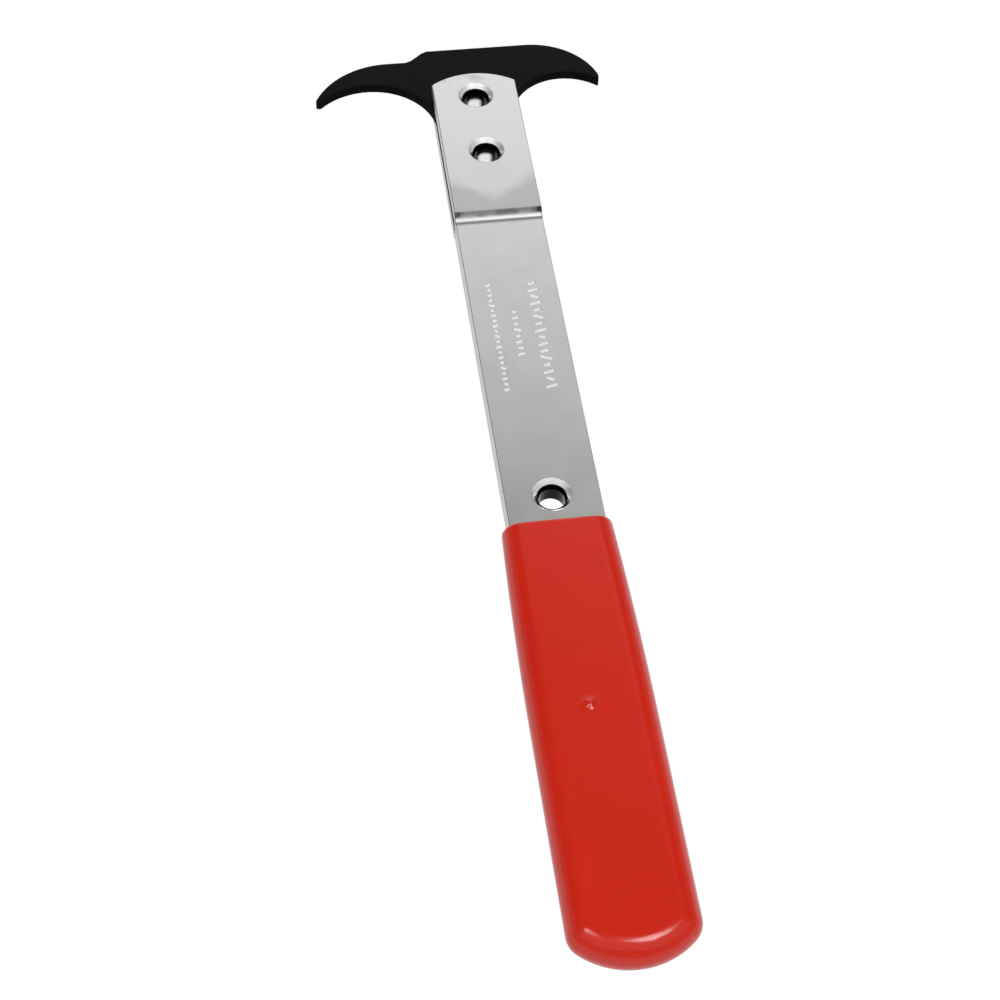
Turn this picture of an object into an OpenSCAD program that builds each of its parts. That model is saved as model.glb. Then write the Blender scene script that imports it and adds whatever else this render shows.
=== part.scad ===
// Double-hook seal puller: two plated steel cheek plates riveted either side of a black
// double-ended hook, with a dipped vinyl grip. Millimetres.
// The origin is the middle of the shank rivet's bore. +Y runs to the hook, +Z to the front face.

/* [Cheek plates] */
// Width of the flat steel bar
bar_w = 25.4; // [20:0.1:30]
// Thickness of each cheek plate
plate_t = 3.4; // [2.5:0.1:4]
// Radius of the arc on each end of the plates
end_r = 21.7; // [16:0.1:30]
// Shank rivet to the crown of the head's arc
head_y = 159.2; // [150:0.1:165]
// Shank rivet to the crown of the tail's arc, towards the hand
tail_y = 127.6; // [110:0.1:135]
// Shank rivet to the middle of the joggle, where the plates step apart
joggle_y = 99.7; // [90:0.1:110]
// Length of the joggle's slope
joggle_l = 2.4; // [1.6:0.1:6]

/* [Stamped strokes] */
// Depth of the plain stamped strokes
stroke_depth = 0.2; // [0.1:0.05:0.5]
// Width of each stroke
stroke_w = 0.9; // [0.4:0.1:1]
// Lean of most strokes from square across the bar
stroke_lean = 14; // [0:1:40]
// Lean of every third stroke the other way
stroke_lean_back = 24; // [0:1:40]
// Shank rivet to the nearest stroke
stroke_y = 36; // [30:1:50]
// Length of the outer rows of strokes
stroke_row = 38; // [20:1:45]

/* [Double hook] */
// Thickness of the hook's steel
hook_t = 3.4; // [3:0.1:5]
// Width of the hook's shank between the plates
shank_w = 25; // [18:0.1:25.4]
// Upper rivet to the flat top of the crown
crown_h = 24.9; // [20:0.1:28]
// Left end of the crown's flat, at the step down to the large hook
crown_left = -12; // [-14:0.1:-8]
// Height of the step between the crown and the large hook's back
step_h = 4.4; // [3:0.1:5]
// Run of that step
step_run = 7; // [5:0.1:9]
// Radius of the large hook's back
large_back_r = 25.4; // [24:0.1:27]
// Centre of the large back's arc to the middle of the bar
large_back_x = 25; // [24:0.1:26]
// Radius of the large hook's throat on its tip side
large_tip_r = 20.6; // [20:0.1:22]
// Radius of the large hook's throat on its shank side
large_root_r = 19.4; // [19.4:0.1:20]
// Centre of the large throat to the middle of the bar
large_x = 31.8; // [31:0.1:31.8]
// Radius of the small hook's back
small_back_r = 21.5; // [20:0.1:23]
// Centre of the small back's arc to the middle of the bar
small_back_x = 18.7; // [18:0.1:19]
// Radius of the small hook's throat
small_r = 16.5; // [15:0.1:17.5]
// Centre of the small throat to the middle of the bar
small_x = 27.7; // [27:0.1:29]
// Upper rivet to the top of both throats
throat_h = 11.6; // [10.5:0.1:12.5]
// Reach of the large hook's tip to the left
large_reach = 48; // [46:0.1:49]
// Upper rivet to the middle of the large hook's blunt end
large_end_h = 6.2; // [5:0.1:8]
// Lean of the large hook's blunt end
large_end_lean = 55; // [40:1:70]
// Reach of the small hook's blunt end to the right
small_reach = 39.4; // [38:0.1:40]

/* [Rivets] */
// Shank rivet to the upper head rivet
upper_y = 149.4; // [140:0.1:155]
// Upper head rivet to the lower head rivet
rivet_pitch = 23.5; // [18:0.1:30]
// Bore of the tubular rivets
bore_d = 6.9; // [5:0.1:7]
// Diameter of the rivets' bodies
rivet_d = 8.4; // [8:0.1:9]
// Diameter of the flared ends
flare_d = 10.6; // [10:0.1:12]
// Depth of the flare inside each end
flare_h = 1.3; // [1:0.1:1.6]
// How far the flared lip stands above the plate
lip_h = 0.2; // [0.1:0.1:0.4]
// Shank rivet to the solid rivet under the grip
grip_rivet_y = 64.8; // [50:0.1:90]
// Middle of the bar to that rivet, to the right
grip_rivet_x = -1.1; // [-2:0.1:2]
// Diameter of the solid rivet under the grip
grip_rivet_d = 5; // [4:0.1:6]
// Rise of the solid rivet's head above the plate
grip_rivet_h = 1; // [0.5:0.1:1.2]

/* [Vinyl grip] */
// Shank rivet to the grip's mouth
mouth_y = 8.7; // [7:0.1:20]
// Shank rivet to the end of the grip
grip_y = 130.5; // [129:0.1:140]
// Width of the grip at its mouth
mouth_w = 29; // [28:0.1:31]
// Thickness of the grip at its mouth
mouth_t = 10; // [9:0.1:11]
// Width of the grip at its end
grip_w = 31.8; // [30:0.1:34]
// Thickness of the grip at its end
grip_t = 11.6; // [10.5:0.1:13]
// Radius of the arc across the grip's end
grip_end_r = 21; // [20:0.1:30]
// Radius of the pimple that the rivet raises
pimple_r = 2.1; // [1.5:0.1:3]
// Rise of the pimple above the grip
pimple_h = 0.9; // [0.4:0.1:1.2]

/* [Hidden] */
$fn = 96;
eps = 0.01;
rise = hook_t / 2;
head_t = 2 * plate_t + hook_t;
shank_t = 2 * plate_t;
lower_y = upper_y - rivet_pitch;
hook_root_y = joggle_y + joggle_l / 2 + 1.2;
large_back_y = crown_h - step_h - large_back_r;
rivet_positions = [[upper_y, head_t], [lower_y, head_t], [0, shank_t]];
// Half width of the grip, half thickness and distance down the handle, at three stations
grip_stations = [
    [mouth_w / 2, mouth_t / 2, mouth_y],
    [(mouth_w + grip_w) / 4 + 0.3, (mouth_t + grip_t) / 4 + 0.15, 62]
];

// ---- Cheek plates

// Plan of the bar: a strip with an arc of radius end_r on each end
module bar_plan() {
    intersection() {
        translate([-bar_w / 2, -tail_y]) square([bar_w, head_y + tail_y]);
        translate([0, head_y - end_r]) union() {
            circle(r = end_r, $fn = 180);
            translate([-bar_w, -tail_y - head_y]) square([2 * bar_w, tail_y + head_y]);
        }
        translate([0, end_r - tail_y]) union() {
            circle(r = end_r, $fn = 180);
            translate([-bar_w, 0]) square([2 * bar_w, tail_y + head_y]);
        }
    }
}

// Side view of one plate, drawn as [distance along the bar, height]: flat, sloped up, flat
module plate_profile() {
    slope_0 = joggle_y - joggle_l / 2;
    slope_1 = joggle_y + joggle_l / 2;
    polygon([
        [-tail_y, 0], [slope_0 + 0.6, 0], [slope_1 + 0.6, rise], [head_y, rise],
        [head_y, rise + plate_t], [slope_1 - 0.6, rise + plate_t],
        [slope_0 - 0.6, plate_t], [-tail_y, plate_t]
    ]);
}

// Hole for a tubular rivet: straight through, with a countersink at the plate's outer face
module rivet_hole(face_z) {
    sink_h = (flare_d - rivet_d) / 2;
    translate([0, 0, -eps]) cylinder(d = rivet_d, h = face_z + 2 * eps);
    translate([0, 0, face_z - sink_h])
        cylinder(d1 = rivet_d, d2 = flare_d + 2 * eps, h = sink_h + eps);
}

// One row of plain slanted strokes running down the bar
module stroke_row(x, y, height, pitch, count) {
    for (i = [0 : count - 1])
        translate([x, y + i * pitch, plate_t])
            rotate([0, 0, i % 3 == 1 ? -stroke_lean_back : stroke_lean])
                cube([height, stroke_w, 2 * stroke_depth], center = true);
}

module stamped_strokes() {
    stroke_row(5.6, stroke_y, 3.6, stroke_row / 15, 16);
    stroke_row(-0.8, stroke_y + 12, 2.4, 2.2, 8);
    stroke_row(-6.6, stroke_y, 2, stroke_row / 20, 21);
}

// The front plate before its strokes are stamped; the back plate is the same plate turned over
module cheek_plate() {
    difference() {
        intersection() {
            translate([bar_w / 2, 0, 0]) rotate([90, 0, -90]) mirror([1, 0, 0])
                linear_extrude(height = bar_w) plate_profile();
            translate([0, 0, -eps]) linear_extrude(height = plate_t + rise + 2 * eps) bar_plan();
        }
        for (p = rivet_positions)
            translate([0, p[0], 0]) rivet_hole(p[1] / 2);
        translate([grip_rivet_x, -grip_rivet_y, -eps]) cylinder(d = grip_rivet_d, h = plate_t + 2 * eps);
    }
}

module front_cheek_plate() {
    color([0.80, 0.80, 0.79]) difference() {
        cheek_plate();
        stamped_strokes();
    }
}

module back_cheek_plate() {
    color([0.76, 0.76, 0.75]) mirror([0, 0, 1]) cheek_plate();
}

// ---- Double hook, drawn with its upper rivet hole at [0, 0]

// Everything inside the backs, before the throats are cut: the crown with the step on its left,
// the arms below it, and the shank that runs down between the plates
module hook_body_plan() {
    back_y = crown_h - step_h;
    step_x = crown_left - step_run;
    root_y = hook_root_y - upper_y;
    // Each end of the step is eased by a short slope
    ease_w = 1.7;
    ease_h = 0.7;
    // Level below both arms' ends
    arm_y = -8;
    polygon([
        [-large_reach, back_y], [step_x, back_y], [step_x + ease_w, back_y + ease_h],
        [crown_left - ease_w, crown_h - ease_h], [crown_left, crown_h],
        [small_reach, crown_h], [small_reach, arm_y], [shank_w / 2, arm_y],
        [shank_w / 2, root_y], [-shank_w / 2, root_y], [-shank_w / 2, arm_y],
        [-large_reach, arm_y]
    ]);
}

// Room inside the backs of the two arms: each back is an arc that meets the crown's flat
module hook_backs_plan() {
    wide = 80;
    intersection() {
        union() {
            translate([-large_back_x, large_back_y]) circle(r = large_back_r, $fn = 240);
            translate([-large_back_x, -wide]) square([wide, 2 * wide]);
        }
        union() {
            translate([small_back_x, crown_h - small_back_r]) circle(r = small_back_r, $fn = 180);
            translate([small_back_x - wide, -wide]) square([wide, 2 * wide]);
        }
    }
}

// The two throats: the large one is rounder near the shank than near its tip
module hook_throats_plan() {
    below = 40;
    beyond = 30;
    end_w = 12;
    intersection() {
        union() {
            translate([-large_x, throat_h - large_root_r]) circle(r = large_root_r, $fn = 180);
            translate([-large_x, -below]) square([large_x, below + throat_h - large_root_r]);
        }
        translate([-large_x, -below]) square([large_x - shank_w / 2, below + throat_h]);
    }
    intersection() {
        translate([-large_x, throat_h - large_tip_r]) circle(r = large_tip_r, $fn = 180);
        translate([-large_x - beyond, -below]) square([beyond, below + throat_h]);
    }
    intersection() {
        union() {
            translate([small_x, throat_h - small_r]) circle(r = small_r, $fn = 180);
            translate([0, -below]) square([small_x + beyond, below + throat_h - small_r]);
        }
        translate([shank_w / 2, -below]) square([small_x + beyond, below + throat_h]);
    }
    // Blunt end of the large hook
    translate([-large_reach, large_end_h]) rotate(90 + large_end_lean)
        translate([-end_w / 2, 0]) square(end_w);
}

module double_hook() {
    color([0.10, 0.10, 0.10]) translate([0, upper_y, -hook_t / 2]) difference() {
        linear_extrude(height = hook_t) difference() {
            intersection() {
                hook_body_plan();
                hook_backs_plan();
            }
            hook_throats_plan();
        }
        for (y = [0, -rivet_pitch])
            translate([0, y, -eps]) cylinder(d = rivet_d, h = hook_t + 2 * eps);
    }
}

// ---- Rivets

// Tubular rivet: a bored body whose two ends are flared into the countersinks
module tubular_rivet(grip_length) {
    face_z = grip_length / 2;
    top_z = face_z + lip_h;
    sink_h = (flare_d - rivet_d) / 2;
    lip_w = 0.35;
    mouth_r = flare_d / 2 - lip_w;
    curve = [for (a = [0 : 15 : 90])
        [bore_d / 2 + (mouth_r - bore_d / 2) * (1 - cos(a)), top_z - flare_h * (1 - sin(a))]];
    upper = concat(curve, [[flare_d / 2, face_z], [rivet_d / 2, face_z - sink_h]]);
    lower = [for (i = [len(upper) - 1 : -1 : 0]) [upper[i][0], -upper[i][1]]];
    rotate_extrude() polygon(concat(upper, lower));
}

module upper_head_rivet() {
    color([0.72, 0.72, 0.70]) translate([0, upper_y, 0]) tubular_rivet(head_t);
}

module lower_head_rivet() {
    color([0.72, 0.72, 0.70]) translate([0, lower_y, 0]) tubular_rivet(head_t);
}

module shank_rivet() {
    color([0.72, 0.72, 0.70]) tubular_rivet(shank_t);
}

// Solid rivet under the vinyl, with a low button head on the front face only
module grip_rivet() {
    head_r = grip_rivet_d / 2;
    ball_r = (head_r * head_r + grip_rivet_h * grip_rivet_h) / (2 * grip_rivet_h);
    color([0.60, 0.60, 0.58]) translate([grip_rivet_x, -grip_rivet_y, 0]) {
        translate([0, 0, -plate_t]) cylinder(d = grip_rivet_d, h = shank_t);
        intersection() {
            translate([0, 0, plate_t + grip_rivet_h - ball_r]) sphere(r = ball_r);
            translate([0, 0, plate_t - eps]) cylinder(d = grip_rivet_d, h = 2 * grip_rivet_h);
        }
    }
}

// ---- Vinyl grip

// Outer skin: a flattened sleeve with full round edges, wider and thicker towards its end
module grip_skin() {
    end_ball = grip_t / 2;
    end_arc = grip_end_r - end_ball;
    end_angle = asin((grip_w / 2 - end_ball) / end_arc);
    hull() {
        for (s = grip_stations, side = [-1, 1])
            translate([side * (s[0] - s[1]), -s[2], 0])
                rotate([90, 0, 0]) cylinder(r = s[1], h = eps, $fn = 48);
        for (k = [-3 : 3])
            translate([end_arc * sin(k * end_angle / 3),
                       grip_end_r - grip_y - end_arc * cos(k * end_angle / 3), 0])
                sphere(r = end_ball, $fn = 48);
    }
}

module vinyl_grip() {
    mid_t = grip_stations[1][1];
    color([0.78, 0.18, 0.14]) difference() {
        union() {
            grip_skin();
            translate([grip_rivet_x, -grip_rivet_y, mid_t + pimple_h - pimple_r])
                sphere(r = pimple_r, $fn = 32);
        }
        translate([0, 0, -plate_t]) linear_extrude(height = shank_t) bar_plan();
        translate([grip_rivet_x, -grip_rivet_y, 0]) cylinder(d = grip_rivet_d, h = plate_t + grip_rivet_h);
    }
}

front_cheek_plate();
back_cheek_plate();
double_hook();
upper_head_rivet();
lower_head_rivet();
shank_rivet();
grip_rivet();
vinyl_grip();
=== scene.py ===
# %% [markdown]
# # A double-hook seal puller
#
# The tool is a lever for prying oil seals out of their seats. Two plated steel plates make the
# handle. They touch along their length, step apart near the head, and hold a black steel hook
# between them with two hollow rivets. A third hollow rivet closes the pair above the hand, and
# the lower end was dipped in red vinyl. The CAD model holds the sizes. Here each piece gets the
# rolled edges, pressed bends and surface that its real making gives it.

# %% Load the frame
import math

import bmesh
import bpy
from mathutils import Matrix, Vector
from mathutils.geometry import delaunay_2d_cdt


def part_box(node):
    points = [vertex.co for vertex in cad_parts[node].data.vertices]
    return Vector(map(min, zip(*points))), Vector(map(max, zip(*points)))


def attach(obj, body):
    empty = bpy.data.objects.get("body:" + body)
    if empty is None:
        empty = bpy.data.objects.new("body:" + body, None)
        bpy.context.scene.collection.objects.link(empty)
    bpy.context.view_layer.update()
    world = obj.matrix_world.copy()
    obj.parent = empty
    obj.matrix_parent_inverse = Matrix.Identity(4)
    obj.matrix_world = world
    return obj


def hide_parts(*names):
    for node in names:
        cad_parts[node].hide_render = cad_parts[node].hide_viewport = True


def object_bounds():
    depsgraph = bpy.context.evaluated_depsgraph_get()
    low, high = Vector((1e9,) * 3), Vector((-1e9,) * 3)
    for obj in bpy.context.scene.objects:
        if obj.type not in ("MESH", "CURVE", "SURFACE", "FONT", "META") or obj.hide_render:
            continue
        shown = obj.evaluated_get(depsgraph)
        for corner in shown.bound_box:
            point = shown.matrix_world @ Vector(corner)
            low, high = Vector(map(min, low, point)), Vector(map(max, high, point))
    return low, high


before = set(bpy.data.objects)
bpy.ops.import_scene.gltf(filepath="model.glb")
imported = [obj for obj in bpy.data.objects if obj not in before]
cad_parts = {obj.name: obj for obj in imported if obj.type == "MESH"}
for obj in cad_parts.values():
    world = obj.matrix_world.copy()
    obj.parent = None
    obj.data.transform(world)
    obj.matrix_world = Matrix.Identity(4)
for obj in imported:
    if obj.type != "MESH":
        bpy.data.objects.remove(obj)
cad_low, cad_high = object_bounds()
print("CAD box in mm:", [round(1000 * side, 1) for side in cad_high - cad_low])

# %% [markdown]
# Makers think in millimetres and Blender in metres, so one value turns one into the other. The
# driving sizes are read from the CAD boxes: the bar's width and length, the three plate levels,
# and where each rivet stands.

# %% Sizes read from the frame
MM = 0.001
BODY = "root"

plate_low, plate_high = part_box("front_cheek_plate")
hook_low, hook_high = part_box("double_hook")
grip_low, grip_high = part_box("vinyl_grip")

bar_w = plate_high.x - plate_low.x
tail_y, head_y = plate_low.y, plate_high.y
hook_t = hook_high.z - hook_low.z
rise = hook_t / 2
plate_t = plate_high.z - plate_low.z - rise


def middle(node):
    """The middle of a CAD node's box."""
    low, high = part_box(node)
    return (low + high) / 2


upper_y = middle("upper_head_rivet").y
lower_y = middle("lower_head_rivet").y
shank_y = middle("shank_rivet").y
grip_rivet_x, grip_rivet_y = middle("grip_rivet").x, middle("grip_rivet").y
print("plate", round(plate_t / MM, 2), "mm, hook", round(hook_t / MM, 2), "mm")

# %% [markdown]
# ## Helpers for shapes
#
# Flat steel parts are blanked from sheet, which leaves a small round on their edges. That round
# is what catches the light, so it is real geometry here. A flat 2D curve is the easy way to it:
# Blender fills the outline, cuts the holes, gives it thickness and rounds both edges in one go.

# %% Arcs, outlines and flat blanks
def arc(centre, radius, start, end, steps):
    """Points along an arc, from one angle in degrees to another."""
    turn = [math.radians(start + (end - start) * i / steps) for i in range(steps + 1)]
    return [(centre[0] + radius * math.cos(a), centre[1] + radius * math.sin(a)) for a in turn]


def circle(centre, radius, steps=72):
    """Points round a whole circle, without repeating the first."""
    return arc(centre, radius, 0, 360, steps)[:-1]


def rounded(corner, before, after, size, steps=5):
    """Points that ease a corner of a section, from the side before it to the side after it."""
    corner, before, after = Vector(corner), Vector(before), Vector(after)
    start = corner + (before - corner).normalized() * size
    end = corner + (after - corner).normalized() * size
    return [tuple(start.lerp(corner, t).lerp(corner.lerp(end, t), t))
            for t in (i / steps for i in range(steps + 1))]


def mesh_object(name, mesh):
    """Puts a mesh in the scene as an object."""
    piece = bpy.data.objects.new(name, mesh)
    bpy.context.scene.collection.objects.link(piece)
    return piece


def blank(name, loops, thickness, edge, segments=3):
    """A flat piece of that thickness, centred on z = 0, with both edges rounded."""
    curve = bpy.data.curves.new(name, "CURVE")
    curve.dimensions = "2D"
    curve.fill_mode = "BOTH"
    curve.extrude = thickness / 2 - edge
    curve.bevel_depth = edge
    curve.bevel_resolution = segments - 1
    curve.offset = -edge
    for loop in loops:
        spline = curve.splines.new("POLY")
        spline.points.add(len(loop) - 1)
        for point, (x, y) in zip(spline.points, loop):
            point.co = (x, y, 0, 1)
        spline.use_cyclic_u = True
    carrier = mesh_object(name + "_outline", curve)
    bpy.context.view_layer.update()
    graph = bpy.context.evaluated_depsgraph_get()
    mesh = bpy.data.meshes.new_from_object(carrier.evaluated_get(graph))
    bpy.data.objects.remove(carrier)
    piece = mesh_object(name, mesh)
    edit(piece, lambda bm: bmesh.ops.remove_doubles(bm, verts=bm.verts, dist=0.002 * MM))
    return piece


def edit(piece, change):
    """Runs one bmesh change on a piece and leaves its faces facing out."""
    bm = bmesh.new()
    bm.from_mesh(piece.data)
    change(bm)
    bmesh.ops.recalc_face_normals(bm, faces=bm.faces)
    bm.to_mesh(piece.data)
    bm.free()
    piece.data.update()


def apply_modifiers(piece):
    """Turns what the modifiers show into the piece's own mesh."""
    bpy.context.view_layer.update()
    graph = bpy.context.evaluated_depsgraph_get()
    mesh = bpy.data.meshes.new_from_object(piece.evaluated_get(graph))
    piece.modifiers.clear()
    piece.data = mesh


def cut(piece, cutter):
    """Takes the cutter's solid out of the piece, and removes the cutter."""
    step = piece.modifiers.new("cut", "BOOLEAN")
    step.operation = "DIFFERENCE"
    step.solver = "EXACT"
    step.object = cutter
    apply_modifiers(piece)
    bpy.data.objects.remove(cutter)


def shade(piece, angle=35):
    """Smooth shading, with edges sharper than the angle kept crisp."""
    for polygon in piece.data.polygons:
        polygon.use_smooth = True
    piece.data.set_sharp_from_angle(angle=math.radians(angle))
    flat = piece.modifiers.new("flat_faces", "WEIGHTED_NORMAL")
    flat.keep_sharp = True
    apply_modifiers(piece)


def report(piece):
    """Prints a piece's size and its open edges, so that a slip shows at once."""
    size = [round(side / MM, 1) for side in piece.dimensions]
    bm = bmesh.new()
    bm.from_mesh(piece.data)
    loose = sum(not edge.is_manifold for edge in bm.edges)
    bm.free()
    print(piece.name, size, "mm,", len(piece.data.polygons), "faces,", loose, "open edges")


# %% [markdown]
# ## Cheek plates
#
# Each plate is a strip of 1 inch flat bar with an arc sheared on both ends. A press steps it
# outward by half the hook's thickness, and stamps a few marks in its face. All of that can be
# said as the height of its two faces over the plan. So the plan is triangulated with a crease
# along every loop where the height changes, and each point is then put at its height. Cutting
# with booleans would do it too, but long thin triangles spoil the reflections in a bright bar.

# %% Plate sizes
END_R = 21.7
PLATE_EDGE = 0.35
RIVET_BODY_R = 4.2
FLARE_R = 5.3
GRIP_RIVET_R = 2.5
JOGGLE_Y = 99.7
JOGGLE_L = 2.4
JOGGLE_SLICES = 14
JOGGLE_BEND = 1.7
STROKE_W = 0.9
STROKE_DEPTH = 0.2
STROKE_SLOPE = 0.25
# For each row of strokes: its place across the bar, its start, stroke length, pitch and count.
# Lengths and leans, in degrees from square across the bar, take turns along a row.
STROKE_ROWS = [
    (5.6, 36, 3.6, 2.5, 16),
    (-0.8, 48, 2.4, 2.2, 8),
    (-6.6, 36, 2.0, 1.9, 21),
]
STROKE_SHARES = (1, 0.7, 0.9, 0.6)
STROKE_LEANS = (14, -24, 14)
half_w = bar_w / MM / 2
tube_places = [y / MM for y in (upper_y, lower_y, shank_y)]
head_arc_y = head_y / MM - END_R
tail_arc_y = tail_y / MM + END_R
strokes = [(x, start + i * pitch, length * STROKE_SHARES[i % len(STROKE_SHARES)],
            math.radians(STROKE_LEANS[i % len(STROKE_LEANS)]))
           for x, start, length, pitch, count in STROKE_ROWS for i in range(count)]
print(len(strokes), "strokes")


# %% Heights of a plate's faces, in millimetres
def inset(x, y):
    """How far inside the plan's outline a point is."""
    found = half_w - abs(x)
    if y > head_arc_y:
        found = min(found, END_R - math.hypot(x, y - head_arc_y))
    if y < tail_arc_y:
        found = min(found, END_R - math.hypot(x, y - tail_arc_y))
    return found


def edge_drop(x, y):
    """How far the rolled edge falls below the face."""
    short = PLATE_EDGE - min(PLATE_EDGE, max(0, inset(x, y)))
    return PLATE_EDGE - math.sqrt(PLATE_EDGE ** 2 - short ** 2)


def joggle_height(y):
    """How far the press lifts the plate. The inner bend is soft and the outer one crisp."""
    share = min(1, max(0, (y - JOGGLE_Y) / JOGGLE_L + 0.5))
    return rise / MM * share ** JOGGLE_BEND


def countersink_depth(x, y):
    """How deep the cone for the nearest tubular rivet is."""
    away = min(math.hypot(x, y - place) for place in tube_places)
    return max(0, FLARE_R - away)


def stroke_depth(x, y):
    """How deep the stamped groove is, with its sloping sides."""
    for sx, sy, length, lean in strokes:
        along = (x - sx) * math.cos(lean) + (y - sy) * math.sin(lean)
        across = (y - sy) * math.cos(lean) - (x - sx) * math.sin(lean)
        margin = min(length / 2 - abs(along), STROKE_W / 2 - abs(across))
        if margin > 0:
            return STROKE_DEPTH * min(1, margin / STROKE_SLOPE)
    return 0


def plain_face(x, y):
    """The outer face of the back plate."""
    return plate_t / MM + joggle_height(y) - edge_drop(x, y) - countersink_depth(x, y)


def marked_face(x, y):
    """The outer face of the front plate, with the strokes."""
    return plain_face(x, y) - stroke_depth(x, y)


def inner_face(x, y):
    """The face that lies against the other plate, or against the hook."""
    return joggle_height(y) + edge_drop(x, y)


# %% Loops in the plate's plan
def bar_outline(inward=0):
    """The strip's plan, or the same plan shrunk inward: straight sides, and an arc at each end."""
    radius = END_R - inward
    swing = math.degrees(math.asin((half_w - inward) / radius))
    return (arc((0, head_arc_y), radius, 90 - swing, 90 + swing, 36)
            + arc((0, tail_arc_y), radius, 270 - swing, 270 + swing, 36))


def stroke_loop(x, y, length, lean, shrink):
    """The rectangle round one stroke, or round the flat bottom of its groove."""
    a, b = length / 2 - shrink, STROKE_W / 2 - shrink
    return [(x + u * math.cos(lean) - v * math.sin(lean), y + u * math.sin(lean) + v * math.cos(lean))
            for u, v in ((-a, -b), (a, -b), (a, b), (-a, b))]


def plate_loops(stamped):
    """Every line in the plan along which a face changes height."""
    loops = [bar_outline(PLATE_EDGE * (1 - math.sin(math.radians(a)))) for a in (90, 60, 35, 15, 0)]
    for place in tube_places:
        loops += [circle((0, place), RIVET_BODY_R), circle((0, place), FLARE_R)]
    loops.append(circle((grip_rivet_x / MM, grip_rivet_y / MM), GRIP_RIVET_R, 40))
    if stamped:
        loops += [stroke_loop(*stroke, shrink) for stroke in strokes for shrink in (0, STROKE_SLOPE)]
    return loops


def in_plate(x, y):
    """Whether a point of the plan is steel."""
    return (inset(x, y) > 0 and min(math.hypot(x, y - p) for p in tube_places) > RIVET_BODY_R
            and math.hypot(x - grip_rivet_x / MM, y - grip_rivet_y / MM) > GRIP_RIVET_R)


# %% Turn a plan into a solid sheet
def sheet(name, loops, slices, inside, top, bottom):
    """A closed mesh between two height functions, creased along the loops and cross slices."""
    points, edges = [], []
    for loop in loops:
        first = len(points)
        points += [Vector(point) for point in loop]
        edges += [(first + i, first + (i + 1) % len(loop)) for i in range(len(loop))]
    for y in slices:
        points += [Vector((-2 * half_w, y)), Vector((2 * half_w, y))]
        edges.append((len(points) - 2, len(points) - 1))
    flat, _, faces, *_ = delaunay_2d_cdt(points, edges, [], 0, 1e-5, False)
    kept = [face for face in faces
            if inside(*(sum((flat[i] for i in face), Vector((0, 0))) / len(face)))]
    bm = bmesh.new()
    used = sorted({i for face in kept for i in face})
    upper = {i: bm.verts.new((flat[i].x * MM, flat[i].y * MM, top(*flat[i]) * MM)) for i in used}
    lower = {i: bm.verts.new((flat[i].x * MM, flat[i].y * MM, bottom(*flat[i]) * MM)) for i in used}
    sides = set()
    for face in kept:
        bm.faces.new([upper[i] for i in face])
        bm.faces.new([lower[i] for i in reversed(face)])
        for i, j in zip(face, face[1:] + face[:1]):
            sides ^= {(min(i, j), max(i, j))}
    for i, j in sorted(sides):
        bm.faces.new((upper[i], upper[j], lower[j], lower[i]))
    bmesh.ops.recalc_face_normals(bm, faces=bm.faces)
    mesh = bpy.data.meshes.new(name)
    bm.to_mesh(mesh)
    bm.free()
    return mesh_object(name, mesh)


# %% Make both plates
def cheek_plate(name, node, side, stamped):
    """One plate. Side is 1 for the front plate and -1 for the back one."""
    slices = [JOGGLE_Y + JOGGLE_L * (i / JOGGLE_SLICES - 0.5) for i in range(JOGGLE_SLICES + 1)]
    piece = sheet(name, plate_loops(stamped), slices, in_plate,
                  marked_face if stamped else plain_face, inner_face)
    edit(piece, lambda bm: bmesh.ops.scale(bm, vec=(1, 1, side), verts=bm.verts))
    shade(piece)
    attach(piece, BODY)
    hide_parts(node)
    report(piece)
    return piece


front_plate = cheek_plate("front_plate", "front_cheek_plate", 1, True)
back_plate = cheek_plate("back_plate", "back_cheek_plate", -1, False)

# %% [markdown]
# ## The double hook
#
# One blank of steel makes both hooks: a large one on the left and a small one on the right, with
# a flat crown that can be struck. Each hook is the space between two arcs, so the outline is
# written as arcs too, going round from the shank. Distances are from the upper rivet.

# %% Hook outline
HOOK_EDGE = 0.5 * MM
CROWN_H = 24.9
STEP_H = 4.4
THROAT_H = 11.6
LARGE = {"x": -31.8, "back_r": 25.4, "back_x": -25, "tip_r": 20.6, "root_r": 19.4, "reach": -48}
SMALL = {"x": 27.7, "back_r": 21.5, "back_x": 18.7, "throat_r": 16.5, "reach": 39.4}
TIP_ROUND = 0.75
TIP_BLUNT = {"large": 1.6, "small": 0.3}
STEP_EASE = 0.7
STEP_SLOPE = [(-12, CROWN_H), (-13.7, CROWN_H - STEP_EASE),
              (-17.3, CROWN_H - STEP_H + STEP_EASE), (-19, CROWN_H - STEP_H)]
SHANK_W = 25


def angle_at(x, centre_x, radius):
    """The angle, in degrees above the horizontal, of the arc's point at that x."""
    return math.degrees(math.acos(max(-1, min(1, (x - centre_x) / radius))))


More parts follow.
